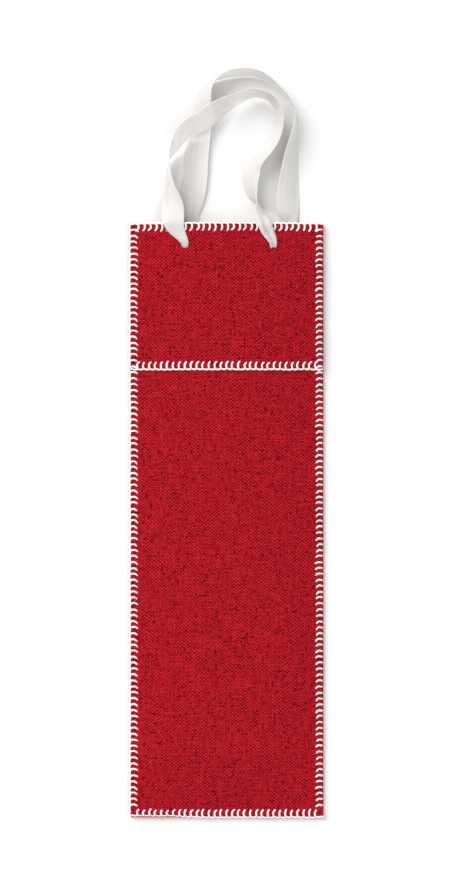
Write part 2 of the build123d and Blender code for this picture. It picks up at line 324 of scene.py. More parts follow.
# ------------------------------------------------------------------ finishes
def add(
    tree: bpy.types.NodeTree,
    kind: str,
    settings: dict[str, Any] | None = None,
    inputs: dict[Any, Any] | None = None,
) -> bpy.types.Node:
    """Adds one node with its settings and links.

    Args:
        tree: the material's node tree.
        kind: the node's type, without ShaderNode.
        settings: the node's own properties.
        inputs: socket name or number to a value, a socket, or a node whose first output is meant.

    Returns:
        The node.
    """
    node = tree.nodes.new("ShaderNode" + kind)
    for key, value in (settings or {}).items():
        setattr(node, key, value)
    for key, value in (inputs or {}).items():
        if isinstance(value, bpy.types.Node):
            value = value.outputs[0]
        if isinstance(value, bpy.types.NodeSocket):
            tree.links.new(value, node.inputs[key])
        else:
            node.inputs[key].default_value = value
    return node


def calc(tree: bpy.types.NodeTree, operation: str, *values: Any) -> bpy.types.Node:
    """Adds a Math node on up to three numbers, sockets or nodes."""
    return add(tree, "Math", {"operation": operation}, dict(enumerate(values)))


def flat_noise(tree: bpy.types.NodeTree, place: Any, scale: float, detail: float) -> bpy.types.Node:
    """Adds a noise over two dimensions."""
    inputs = {"Vector": place, "Scale": scale, "Detail": detail}
    return add(tree, "TexNoise", {"noise_dimensions": "2D"}, inputs)


def shade(tree: bpy.types.NodeTree, dressed: dict[str, Any]) -> None:
    """Adds the shader with its inputs, and joins it to the material's output."""
    shader = add(tree, "BsdfPrincipled", None, dressed)
    add(tree, "OutputMaterial", None, {"Surface": shader})


def new_material(name: str) -> tuple[bpy.types.Material, bpy.types.NodeTree]:
    """An empty node material and its tree."""
    material = bpy.data.materials.new(name)
    material.use_nodes = True
    material.node_tree.nodes.clear()
    return material, material.node_tree


def set_ramp(node: bpy.types.Node, stops: list[tuple[float, str]]) -> bpy.types.Node:
    """Gives a colour ramp its stops.

    Args:
        node: the colour ramp.
        stops: place from 0 to 1 and sRGB hex colour of each stop.

    Returns:
        The same node.
    """
    elements = node.color_ramp.elements
    while len(elements) < len(stops):
        elements.new(1.0)
    for element, (place, colour) in zip(elements, stops):
        element.position = place
        element.color = linear(colour)
    return node


@dataclass(frozen=True)
class WovenJute:
    """Plain-woven jute, red from piece dyeing: flecks of warp over weft, painted shade in the gaps between
    floats, and hairy slubs.
    """

    warp_pitch: float = 1.35
    weft_pitch: float = 1.11
    slub_length: float = 14.0
    wander: float = 1.5
    relief: float = 0.25
    dark_share: float = 0.05
    patch: float = 9.0
    lean: float = 0.32

    def make(self) -> bpy.types.Material:
        """Builds the material. U and V over the two pitches count warps and wefts. The product of
        the sines of half their turns is positive where the warp is on top and negative where the
        weft is, and its size is the swell of each float."""
        material, tree = new_material("red_woven_jute")
        uv = add(tree, "UVMap", {"uv_map": "weave"})
        drift = flat_noise(tree, uv, 55.0, 2.0)
        drift_parts = add(tree, "SeparateXYZ", None, {0: drift.outputs["Color"]})
        place = add(tree, "SeparateXYZ", None, {0: uv})
        counts = []
        for axis, pitch in ((0, self.warp_pitch), (1, self.weft_pitch)):
            scaled = calc(tree, "DIVIDE", place.outputs[axis], pitch * MM)
            counts.append(calc(tree, "MULTIPLY_ADD", drift_parts.outputs[axis], self.wander, scaled))
        products = []
        for wave in ("SINE", "COSINE"):
            waves = []
            for count in counts:
                half_turn = calc(tree, "MULTIPLY", count, math.pi)
                waves.append(calc(tree, wave, half_turn))
            products.append(calc(tree, "MULTIPLY", waves[0], waves[1]))
        # Some of the cosines' product leans the checks into diagonals, one way here, the other there.
        patch = flat_noise(tree, uv, 1000.0 / self.patch, 1.0)
        leaning = {"Value": patch, "From Min": 0.35, "From Max": 0.65}
        leaning |= {"To Min": -self.lean, "To Max": self.lean}
        lean = add(tree, "MapRange", None, leaning)
        floats = calc(tree, "MULTIPLY_ADD", products[1], lean, products[0])
        swell = calc(tree, "ABSOLUTE", floats)
        # Each float has its own tone, because the jute fibre takes the dye unevenly.
        cells = [calc(tree, "FLOOR", count) for count in counts]
        cell = add(tree, "CombineXYZ", None, {0: cells[0], 1: cells[1]})
        fleck = add(tree, "TexWhiteNoise", {"noise_dimensions": "2D"}, {"Vector": cell})
        # Slubs: yarns thicken and darken over stretches of about slub_length.
        tones = []
        for long_axis in (1, 0):
            stretch = [1.0 / (self.warp_pitch * MM), 1.0 / (self.weft_pitch * MM), 1.0]
            stretch[long_axis] = 1.0 / (self.slub_length * MM)
            yarns = add(tree, "Mapping", None, {"Vector": uv, "Scale": stretch})
            tones.append(flat_noise(tree, yarns, 1.0, 1.0))
        slub = calc(tree, "ADD", tones[0], tones[1])
        # Tone: the warp or weft on top, plus the fleck times the swell, the slubs and the swell. Both swell
        # terms make each float lighter at its crown and darker in the gaps between floats: painted shade.
        by_float = calc(tree, "MULTIPLY_ADD", floats, 0.20, 0.30)
        rare = calc(tree, "LESS_THAN", fleck, self.dark_share)
        darkened = calc(tree, "MULTIPLY", rare, -0.4)
        own_tone = calc(tree, "MULTIPLY_ADD", fleck, 0.45, darkened)
        by_fleck = calc(tree, "MULTIPLY_ADD", own_tone, swell, by_float)
        by_slub = calc(tree, "MULTIPLY_ADD", slub, 0.26, by_fleck)
        # Painted shade: the swell once more, lighter on the floats' crowns and darker in the gaps between
        # them.
        by_gap_shade = calc(tree, "MULTIPLY_ADD", swell, 0.10, by_slub)
        stops = [(0.33, "560207"), (0.45, "6f050e"), (0.56, "850914"), (0.67, "960d19"), (0.78, "a71320")]
        stops += [(0.90, "ba1d2c"), (1.00, "ca2a38")]
        # The ramp turns the tone into red, so the painted shade in the weave's gaps is part of this colour.
        dyed_with_gap_shade = set_ramp(add(tree, "ValToRGB", None, {0: by_gap_shade}), stops)
        # The dye hasn't reached the core of the fibre, so a cut edge is paler and more orange.
        raw = add(tree, "Attribute", {"attribute_name": "rawness"})
        cut = add(tree, "MapRange", None, {"Value": raw.outputs["Fac"], "From Min": 0.15, "To Max": 0.85})
        colour = add(tree, "Mix", {"data_type": "RGBA"}, {0: cut, 6: dyed_with_gap_shade, 7: linear("e0805a")})
        fuzz = flat_noise(tree, uv, 2600.0, 2.0)
        height = calc(tree, "MULTIPLY_ADD", fuzz, 0.25, swell)
        raised = calc(tree, "MULTIPLY_ADD", slub, 0.4, height)
        bump = add(tree, "Bump", None, {"Height": raised, "Strength": 0.55, "Distance": self.relief * MM})
        rough = add(tree, "MapRange", None, {"Value": fuzz, "To Min": 0.82, "To Max": 0.98})
        dressed = {
            "Base Color": colour.outputs[2],
            "Roughness": rough,
            "Normal": bump,
            "IOR": 1.5,
            "Specular IOR Level": 0.08,
        }
        shade(tree, dressed)
        return material


@dataclass(frozen=True)
class TwistedCotton:
    """Mercerised cotton yarn, two plies twisted: bright white, with soft shade painted into its colour in the
    twist.
    """

    ply_length: float = 2.4
    plies: float = 2.0

    def make(self) -> bpy.types.Material:
        """Builds the material. The plies are a sine of the turns round the yarn plus those along it, which
        raises the bump and darkens the colour in the grooves between plies as painted shade.
        """
        material, tree = new_material("white_twisted_cotton")
        uv = add(tree, "UVMap", {"uv_map": "weave"})
        place = add(tree, "SeparateXYZ", None, {0: uv})
        round_turns = calc(tree, "MULTIPLY", place.outputs[0], 2 * math.pi * self.plies)
        per_metre = 2 * math.pi / (self.ply_length * MM)
        turns = calc(tree, "MULTIPLY_ADD", place.outputs[1], per_metre, round_turns)
        ply_relief_and_shade = calc(tree, "SINE", turns)
        spot = add(tree, "TexCoord").outputs["Object"]
        hair = add(tree, "TexNoise", None, {"Vector": spot, "Scale": 1800.0, "Detail": 2.0})
        tone = calc(tree, "MULTIPLY_ADD", ply_relief_and_shade, 0.22, hair)
        stops = [(0.1, "dedad4"), (0.45, "f4f2ee"), (0.8, "fffefb")]
        # Painted shade: the ramp darkens the yarn where the ply sine is low, in the grooves of the twist.
        colour = set_ramp(add(tree, "ValToRGB", None, {0: tone}), stops)
        bump = add(tree, "Bump", None, {"Height": tone, "Strength": 0.5, "Distance": 0.12 * MM})
        rough = add(tree, "MapRange", None, {"Value": hair, "To Min": 0.6, "To Max": 0.85})
        dressed = {
            "Base Color": colour,
            "Roughness": rough,
            "Normal": bump,
            "IOR": 1.5,
            "Sheen Weight": 0.25,
            "Sheen Roughness": 0.4,
        }
        shade(tree, dressed)
        return material


@dataclass(frozen=True)
class SatinRibbon:
    """Woven polyester satin, ivory: long warp floats give a lengthwise gloss, and each edge has a
    firm selvage."""

    half_width: float = 8.0
    selvage: float = 0.7
    streak: float = 0.9
    pick: float = 0.8

    def make(self) -> bpy.types.Material:
        """Builds the material. Streaks run along V and picks across it. Both threads of a real satin
        are under 0.1 mm, so they are drawn about eight times as coarse to show at all."""
        material, tree = new_material("ivory_woven_satin")
        uv = add(tree, "UVMap", {"uv_map": "weave"})
        place = add(tree, "SeparateXYZ", None, {0: uv})
        noises = []
        fine_u, fine_v = 1 / (self.streak * MM), 1 / (self.pick * MM)
        for scale in ((fine_u, 18.0, 1.0), (60.0, fine_v, 1.0), (90.0, 35.0, 1.0)):
            threads = add(tree, "Mapping", None, {"Vector": uv, "Scale": scale})
            noises.append(flat_noise(tree, threads, 1.0, 2.0))
        streaks, picks, clouds = noises
        distance = calc(tree, "ABSOLUTE", place.outputs[0])
        band = {
            "Value": distance,
            "From Min": (self.half_width - self.selvage) * MM,
            "From Max": (self.half_width - self.selvage / 2) * MM,
        }
        edge = add(tree, "MapRange", {"interpolation_type": "SMOOTHSTEP"}, band)
        by_streak = calc(tree, "MULTIPLY_ADD", streaks, 0.5, -0.05)
        by_cloud = calc(tree, "MULTIPLY_ADD", clouds, 0.5, by_streak)
        by_edge = calc(tree, "MULTIPLY_ADD", edge, 0.25, by_cloud)
        stops = [(0.15, "d8d5d1"), (0.5, "e3dfdb"), (0.85, "efece8")]
        colour = set_ramp(add(tree, "ValToRGB", None, {0: by_edge}), stops)
        ridge = calc(tree, "MULTIPLY_ADD", picks, 0.35, streaks)
        height = calc(tree, "MULTIPLY_ADD", edge, 0.8, ridge)
        bump = add(tree, "Bump", None, {"Height": height, "Strength": 0.25, "Distance": 0.08 * MM})
        rough = add(tree, "MapRange", None, {"Value": streaks, "To Min": 0.36, "To Max": 0.52})
        dressed = {
            "Base Color": colour,
            "Roughness": rough,
            "Normal": bump,
            "IOR": 1.55,
            "Specular IOR Level": 0.4,
            "Sheen Weight": 0.1,
            "Sheen Roughness": 0.3,
            "Subsurface Weight": 0.85,
            "Subsurface Radius": (1.0, 1.0, 1.0),
            "Subsurface Scale": 1.6 * MM,
        }
        shade(tree, dressed)
        return material


@dataclass(frozen=True)
class Finishes:
    """The three finishes of the bag."""

    jute: bpy.types.Material
    yarn: bpy.types.Material
    satin: bpy.types.Material


# ------------------------------------------------------------------ the bag's own shape
@dataclass
class BagShape:
    """The sewn bag's outline and heights, read from the frame. Its front bows up off its back."""

    margin: float = 5.0
    closing: float = 45.0
    step: float = 1.0
    purl: float = 1.2
    stitch_pitch: float = 4.0
    swell: float = 0.22
    cut_shows: float = 22.0
    cut_fades: float = 26.0
    half_width: float = field(init=False)
    top: float = field(init=False)
    bottom: float = field(init=False)
    cuff_edge: float = field(init=False)
    cloth: float = field(init=False)
    fullness: float = field(init=False)
    back_floor: float = field(init=False)
    low_floor: float = field(init=False)
    cuff_seat: float = field(init=False)

    def __post_init__(self) -> None:
        """Reads the sizes from the boxes of the four cloth nodes."""
        panel_low, panel_high = (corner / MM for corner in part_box("front_panel"))
        cuff_low, cuff_high = (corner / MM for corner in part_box("front_cuff"))
        back_low, back_high = (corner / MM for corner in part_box("back_cuff"))
        self.half_width = panel_high.x
        self.top, self.bottom = panel_high.y, panel_low.y
        self.cuff_edge = cuff_low.y
        self.cloth = back_high.z - back_low.z
        self.fullness = cuff_high.z - cuff_low.z - self.cloth
        self.back_floor, self.low_floor, self.cuff_seat = back_low.z, panel_low.z, cuff_low.z

    def bow(self, x: Array) -> Array:
        """Height of the bow: a circle's arc between the side margins, and zero on them."""
        half = self.half_width - self.margin
        radius = (half**2 + self.fullness**2) / (2 * self.fullness)
        inner = np.minimum(np.abs(x), half)
        return np.sqrt(radius**2 - inner**2) - (radius - self.fullness)

    def swells(self, x: Array, y: Array) -> Array:
        """Soft unevenness of the cloth: three crossed sine waves, dying away at the side seams."""
        waves = np.sin(x / 17 + y / 61) + np.sin(y / 29 - x / 43 + 1.0)
        waves = waves + 0.6 * np.sin(y / 13 + x / 23 + 2.0)
        inside = ease((self.half_width - self.margin - np.abs(x)) / 12)
        return self.swell * waves * inside * self.open_share(y)

    def open_share(self, y: Array) -> Array:
        """How far the bow is open: a quarter of a sine from the bottom seam's margin upwards."""
        share = np.clip((y - self.bottom - self.margin) / self.closing, 0, 1)
        return np.sin(share * np.pi / 2)

    def raised(self, y: Array) -> Array:
        """Share of the step up that a panel takes where it passes the cuff's edge."""
        return ease((y - (self.cuff_edge - self.purl - self.step)) / self.step)

    def panel_under(self, x: Array, y: Array) -> Array:
        """Underside of the front panel."""
        base = self.low_floor + self.cloth * self.raised(y)
        return base + self.bow(x) * self.open_share(y) + self.swells(x, y)

    def cuff_under(self, x: Array, y: Array) -> Array:
        """Underside of the front cuff, which lies on the front panel."""
        return self.cuff_seat + self.bow(x) + self.swells(x, y)

    def face(self, x: Array, y: Array) -> Array:
        """Outer face of the bag's front, panel or cuff."""
        under = np.where(y > self.cuff_edge, self.cuff_under(x, y), self.panel_under(x, y))
        return under + self.cloth

    def bottom_cut(self, x: Array) -> Array:
        """Share of the bottom edge's cut that shows past its stitching: most at the left corner."""
        return 1 - ease((x + self.half_width - self.cut_shows) / self.cut_fades)

    def side_places(self) -> Array:
        """Stitches up a side, set out both ways from the cuff's edge."""
        first, depth = self.cuff_edge + self.purl, self.margin - 0.8
        below = int((first - self.bottom - depth) / self.stitch_pitch)
        above = int((self.top - depth - first) / self.stitch_pitch)
        return first + np.arange(-below, above + 1) * self.stitch_pitch

    def cross_places(self, inset: float) -> Array:
        """Stitches along an edge across the bag, centred on it and clear of its ends by inset."""
        count = int((2 * (self.half_width - inset)) / self.stitch_pitch)
        return (np.arange(count) - (count - 1) / 2) * self.stitch_pitch


@dataclass
class ClothSheets:
    """The four pieces of jute: front and back panels, and the cuffs on them."""

    shape: BagShape
    fine: float = 0.8
    coarse: float = 2.4
    row: float = 1.0
    slack: float = 0.05
    dent: float = 0.24
    pull: float = 0.22
    pucker: float = 0.8
    pucker_reach: float = 3.2
    rim_rawness: float = 0.6

    def columns(self) -> Array:
        """Places across the sheet: close together over the stitched margins and wider between."""
        half, edge = self.shape.half_width, self.shape.half_width - self.shape.margin - 2.0
        margin = np.linspace(edge, half, round((half - edge) / self.fine) + 1)
        middle = np.linspace(-edge, edge, round(2 * edge / self.coarse) + 1)
        return np.concatenate([-margin[::-1], middle[1:-1], margin])

    def dents(self, x: Array, y: Array) -> Array:
        """How far the side stitches press the cloth down: the square of a cosine along the seam,
        fading past the stitches' inner ends."""
        inward = self.shape.half_width - np.abs(x)
        first = self.shape.side_places()[0]
        pressed = np.cos(np.pi * (y - first) / self.shape.stitch_pitch) ** 2
        return self.dent * pressed * ease((self.shape.margin + 1.2 - inward) / 3.0)

    def puckers(self, x: Array, y: Array, holes: Array) -> Array:
        """Dimples where a ribbon goes through: a bell curve of the distance from each hole."""
        distance = np.hypot(x[..., None] - holes[:, 0], y[..., None] - holes[:, 1])
        return self.pucker * np.exp(-((distance / self.pucker_reach) ** 2)).sum(axis=-1)

    def drawn_in(self, x: Array, y: Array) -> Array:
        """X with the raw side edges drawn in a little at each stitch."""
        first = self.shape.side_places()[0]
        drawn = np.cos(np.pi * (y - first) / self.shape.stitch_pitch) ** 2
        near = ease(1 - (self.shape.half_width - np.abs(x)) / 2.0)
        return x - np.sign(x) * self.pull * drawn * near

    def sheet(self, low: float, high: float, under: Any, holes: Array, upward: float) -> Surface:
        """One rectangular sheet over its underside's height.

        Args:
            low: its lower edge along Y.
            high: its upper edge.
            under: height of its underside as a function of x and y.
            holes: the ribbon holes it puckers round, as x and y.
            upward: 1 where dents press it down from above, -1 where they press it up from below.

        Returns:
            The closed sheet, with U and V its flat sizes in metres.
        """
        rows = np.linspace(low, high, round((high - low) / self.row) + 1)
        x, y = np.meshgrid(self.columns(), rows)
        pressed = self.dents(x, y) + self.puckers(x, y, holes)
        z = under(x, y) + self.shape.cloth / 2 - upward * pressed
        uv = np.stack([x, y], axis=-1) * MM
        middle = np.stack([self.drawn_in(x, y), y, z], axis=-1)
        surface = sheet_surface(middle, self.shape.cloth - self.slack, uv)
        px, py = surface.points[:, 0], surface.points[:, 1]
        frayed = self.shape.bottom_cut(px) * (py < self.shape.bottom + self.row / 2)
        surface.rawness = np.maximum(surface.rawness * self.rim_rawness, frayed)
        return surface

    def build(self, finishes: Finishes, front_holes: Array) -> None:
        """Args:
            finishes: the bag's finishes.
            front_holes: x and y of the front ribbon's holes.
        """
        shape = self.shape
        far_off = 0 * front_holes[:1] + 1e6

        def back_panel_under(x: Array, y: Array) -> Array:
            """Underside of the back panel, which steps up over the back cuff."""
            return shape.back_floor + shape.cloth * shape.raised(y) + 0 * x

        def back_cuff_under(x: Array, y: Array) -> Array:
            """Underside of the back cuff, flat."""
            return shape.back_floor + 0 * x

        rows = {
            "front_panel": (shape.bottom, shape.top, shape.panel_under, front_holes, 1.0, "back_panel"),
            "front_cuff": (shape.cuff_edge, shape.top, shape.cuff_under, front_holes, 1.0, "front_panel"),
            "back_panel": (shape.bottom, shape.top, back_panel_under, far_off, -0.5, "back_cuff"),
            "back_cuff": (shape.cuff_edge, shape.top, back_cuff_under, far_off, -0.5, "back_left_lead"),
        }
        for node, (low, high, under, holes, upward, support) in rows.items():
            surface = self.sheet(low, high, under, holes, upward)
            piece = make_object(node + "_cloth", surface, finishes.jute)
            finish_piece(piece, Body.BAG, Slot.JUTE, node)


def finish_piece(piece: bpy.types.Object, body: Body | None, slot: Slot, *nodes: str) -> None:
    """Rides a piece on its body, hides the nodes it stands for, and reports it with them.

    Args:
        piece: the piece.
        body: its body, or None to leave it unattached.
        slot: the record's slot for its finish; not used.
        nodes: the nodes that it stands for.
    """
    if body is not None:
        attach(piece, body.value)
    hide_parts(*nodes)
    LOG.info("%s: %d faces, for %s", piece.name, len(piece.data.polygons), ", ".join(nodes))


# ------------------------------------------------------------------ stitching
@dataclass
class StitchRow:
    """Where one row of blanket stitch goes: its edge, its direction and the faces it binds."""

    node: str
    places: Array
    ends: tuple[float, float]
    edge: float
    across_bag: bool
    inward: float
    facing: float
    outer: Any
    inner: Any
    hook: float
    roomy: float = -1.0
    purl_in: float = 0.0
    slipped_in: float = 0.0
    purl_under: float = 0.3

    def place(self, along: Array, depth: Array) -> tuple[Array, Array]:
        """X and Y of a point that is depth in from the edge."""
        level = self.edge + self.inward * depth
        return (along, level) if self.across_bag else (level, along)


@dataclass
class BlanketStitching:
    """All seven rows of white blanket stitch round the bag and its cuffs."""

    shape: BagShape
    yarn: float = 0.64
    purl_yarn: float = 0.66
    depth: float = 4.7
    rest_front: float = 0.36
    rest_back: float = 0.12
    bite: float = 1.1
    start: float = 0.8
    finish: float = 1.4
    slant: float = 0.5
    scallop: float = 0.45
    lean: float = -0.7
    uneven_reach: float = 0.25
    uneven_start: float = 0.12
    uneven_finish: float = 0.25
    uneven_place: float = 0.16
    uneven_yarn: float = 0.05
    uneven_purl: float = 0.12
    purl_out: float = 0.35
    purl_sunk: float = 0.35
    first_seed: int = 41
    sides: int = 8
    purl_steps: int = 10

    def legs(self, row: StitchRow, outer: bool, random: np.random.Generator) -> Surface:
        """The legs over one face. Each leaves the purl along the edge, curves in, lies on the cloth
        and dives at its bite. Its sideways offset is a cube that dies away from the purl, a square
        that grows over its last half and a steady slant.

        Args:
            row: the row of stitches.
            outer: True for the face that shows, False for the one behind it.
            random: source of the hand's unevenness.

        Returns:
            The legs as one surface.
        """
        places = row.places if outer else row.places[self.shape.bow(row.places) > row.roomy]
        count = len(places)
        share = np.array([0, 0.05, 0.11, 0.18, 0.28, 0.4, 0.52, 0.64, 0.75, 0.84, 0.91, 0.96, 1.0])
        uneven = random.normal(size=(5, count, 1))
        reach = self.depth + self.uneven_reach * uneven[0] + row.purl_in
        start = row.purl_in - self.purl_out + 0.8 * self.slip(row, places)[:, None]
        depth = start + (reach - start) * share
        begin = self.start * (1 + self.uneven_start * uneven[1]) * (1 - share) ** 3
        growing = np.clip((share - 0.5) / 0.5, 0, 1) ** 2
        end = self.finish * (1 + self.uneven_finish * uneven[2]) * growing
        lean = self.slant * (share - 0.5) + self.lean
        along = places[:, None] + self.uneven_place * uneven[3] + row.hook * (begin + end + lean)
        x, y = row.place(along, depth)
        face = row.outer if outer else row.inner
        facing = row.facing if outer else -row.facing
        rest = self.rest_front if facing > 0 else self.rest_back
        inside = np.clip(depth, 0.3, None)
        on_face = face(*row.place(along, inside)) + facing * rest
        purl_height = self.purl_height(row, x, y)
        height = purl_height + (on_face - purl_height) * ease(share / 0.2)
        dive = facing * self.bite * ease((share - 0.8) / 0.2)
        paths = np.stack([x, y, height - dive], axis=-1)
        swell = 1 + self.uneven_yarn * uneven[4] + 0.12 * np.sin(np.pi * np.clip(share, 0, 0.9)) - 0.06
        return tubes(paths, (self.yarn * swell)[..., None], UP, self.sides)

    def slip(self, row: StitchRow, along: Array) -> Array:
        """How far the purl has slipped in from the edge: along the bottom, only near its left end."""
        return row.slipped_in * (self.shape.bottom_cut(along) if row.across_bag else 1 + 0 * along)

    def purl_height(self, row: StitchRow, x: Array, y: Array) -> Array:
        """Height of the purl: purl_under of the way from the outer face to the inner one, or just
        under the outer one where the row binds no inner face."""
        along = x if row.across_bag else y
        px, py = row.place(along, 0.4 + 0 * along)
        outer = row.outer(px, py)
        if row.inner is None:
            return outer - row.facing * self.purl_sunk
        return outer + (row.inner(px, py) - outer) * row.purl_under

    def purl(self, row: StitchRow, random: np.random.Generator) -> Surface:
        """The purl: one yarn along the edge. Its outward offset is the size of a sine that is zero
        at each stitch, so it scallops between them.

        Args:
            row: the row of stitches.
            random: source of the hand's unevenness.

        Returns:
            The purl as one surface.
        """
        low, high = row.ends
        steps = round((high - low) / self.shape.stitch_pitch * self.purl_steps)
        along = np.linspace(low, high, steps + 1)
        turns = np.pi * (along - row.places[0]) / self.shape.stitch_pitch
        wave = np.abs(np.sin(turns))
        drift = np.interp(along, row.places, random.normal(size=len(row.places)) * self.uneven_purl)
        depth = -self.purl_out + 0.2 - self.scallop * wave + drift + row.purl_in
        depth += self.slip(row, along)
        x, y = row.place(along, depth)
        height = self.purl_height(row, x, y) - row.facing * 0.12 * wave
        paths = np.stack([x, y, height], axis=-1)[None]
        radius = self.purl_yarn * (0.94 + 0.12 * wave)[None, :, None]
        return tubes(paths, radius, UP, self.sides)

    def rows(self) -> list[StitchRow]:
        """The seven rows, with the faces that each binds."""
        shape = self.shape

        def under_back(x: Array, y: Array) -> Array:
            """Underside of the bag's flat back."""
            return shape.back_floor + 0 * x

        def inside_back(x: Array, y: Array) -> Array:
            """Inner face of the back panel at the mouth."""
            return shape.back_floor + 2 * shape.cloth + 0 * x

        half, bottom, top = shape.half_width, shape.bottom, shape.top
        side, wide = shape.side_places(), shape.cross_places(1.0)
        past = shape.purl / 2
        along_side, along_end = (bottom - past / 2, top + past / 2), (-half - past / 2, half + past / 2)
        along_cuff = (-half + past / 2, half - past / 2)
        edge = shape.cuff_edge
        face, back, inner, panel = shape.face, under_back, inside_back, shape.panel_under
        return [
            StitchRow("left_side_stitch", side, along_side, -half, False, 1, 1, face, back, -1),
            StitchRow(
                "right_side_stitch", side, along_side, half, False, -1, 1, face, back, -1, -1, 0.3, 0.55, 0.75
            ),
            StitchRow("bottom_stitch", wide, along_end, bottom, True, 1, 1, face, back, 1, -1, 0.45, 1.0),
            StitchRow("front_top_stitch", wide, along_end, top, True, -1, 1, face, panel, -1, 2.4),
            StitchRow("back_top_stitch", wide, along_end, top, True, -1, -1, back, inner, -1, 2.4),
            StitchRow("front_cuff_stitch", wide, along_cuff, edge, True, 1, 1, face, None, 1, -1, 0.1),
            StitchRow("back_cuff_stitch", wide, along_cuff, edge, True, 1, -1, back, None, 1, -1, 0.1),
        ]

    def build(self, finishes: Finishes) -> None:
        """Builds and dresses the rows.

        Args:
            finishes: the bag's finishes.
        """
        for number, row in enumerate(self.rows()):
            random = np.random.default_rng(self.first_seed + number)
            surface = self.purl(row, random).joined(self.legs(row, True, random))
            if row.inner is not None:
                surface = surface.joined(self.legs(row, False, random))
            piece = make_object(row.node + "_yarn", surface, finishes.yarn)
            finish_piece(piece, Body.BAG, Slot.YARN, row.node)


# ------------------------------------------------------------------ ribbons
@dataclass(frozen=True)
class Station:
    """One place along a ribbon: across as a share of the holes' reach, up in mm above the mouth's
    edge, low as mm of room under its lower edge, roll in degrees and width as a share."""

    across: float
    up: float
    low: float
    roll: float
    width: float = 1.0
    on_bag: bool = False


@dataclass
class Ribbon:
    """A ribbon loop: a 16 mm strip carried along a smooth line from one hole to the other."""

    name: str
    nodes: tuple[str, ...]
    body: Body
    holes: Array
    stations: list[Station]
    turn_from: float
    shape: BagShape
    width: float = 16.0
    thickness: float = 0.3
    count: int = 620
    strands: int = 25
    pleat_first: float = 0.7
    pleat_last: float = -0.75
    cup: float = 0.35
    flutter: float = 0.22

    def line(self) -> Array:
        """The ribbon's middle line, with its roll and its width share, as a smooth curve."""
        reach = (self.holes[1, 0] - self.holes[0, 0]) / 2
        shift = (self.holes[1, 0] + self.holes[0, 0]) / 2
        rows = []
        for spot in self.stations:
            x = shift + reach * spot.across
            half = self.width * spot.width / 2
            roll = math.radians(spot.roll)
            floor = 0.0
            if spot.on_bag:
                bow = float(self.shape.bow(np.array(abs(x) + half)))
                floor = self.shape.cuff_seat + self.shape.cloth + bow
            lift = half * abs(math.sin(roll)) + self.thickness / 2 * abs(math.cos(roll))
            rows.append((x, self.shape.top + spot.up, floor + spot.low + lift, spot.roll, spot.width))
        return spline(np.array(rows), self.count)

    def surface(self) -> tuple[Surface, float]:
        """The ribbon's strip. At each point of the line its edge direction is the level normal
        turned by the roll, and its section is a shallow arch plus pleats where it is gathered.

        Returns:
            The closed strip and its length in millimetres.
        """
        line = self.line()
        middle, roll, width = line[:, :3], np.radians(line[:, 3]), line[:, 4]
        tangent = unit(np.gradient(middle, axis=0))
        outward = unit(np.cross([0.0, 0.0, 1.0], tangent))
        upward = np.cross(tangent, outward)
        edge = outward * np.cos(roll)[:, None] + upward * np.sin(roll)[:, None]
        normal = np.cross(tangent, edge)
        lengths = np.concatenate([[0], np.cumsum(np.linalg.norm(np.diff(middle, axis=0), axis=1))])
        u = np.linspace(-1, 1, self.strands)
        gathered = ease((0.98 - width) / 0.6)[:, None]
        later = ease(lengths / lengths[-1] * 2 - 0.5)[:, None]
        depth = self.pleat_first + (self.pleat_last - self.pleat_first) * later
        pleats = depth * gathered * np.cos(np.pi * u * (0.5 + later))
        arch = self.cup * (1 - gathered) * (1 - u**2 - 0.66)
        ripple = self.flutter * (1 - gathered) * u * np.sin(lengths[:, None] / 11 + 1.3 * u)
        offset = pleats + arch + ripple
        spread = (u * width[:, None] * self.width / 2)[..., None]
        points = middle[:, None] + edge[:, None] * spread + normal[:, None] * offset[..., None]
        points[..., 2] = np.maximum(points[..., 2], self.thickness / 2)
        flat_u = np.broadcast_to(u * self.width / 2, (self.count, self.strands))
        flat_v = np.broadcast_to(lengths[:, None], (self.count, self.strands))
        uv = np.stack([flat_u, flat_v], axis=-1) * MM
        return sheet_surface(points, self.thickness, uv, lip=0.2), float(lengths[-1])

    def build(self, finishes: Finishes) -> None:
        """Args:
            finishes: the bag's finishes.
        """
        surface, length = self.surface()
        piece = make_object(self.name, surface, finishes.satin)
        finish_piece(piece, None, Slot.SATIN, *self.nodes)
        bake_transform(piece)
        LOG.info("%s: %.0f mm long", piece.name, length)


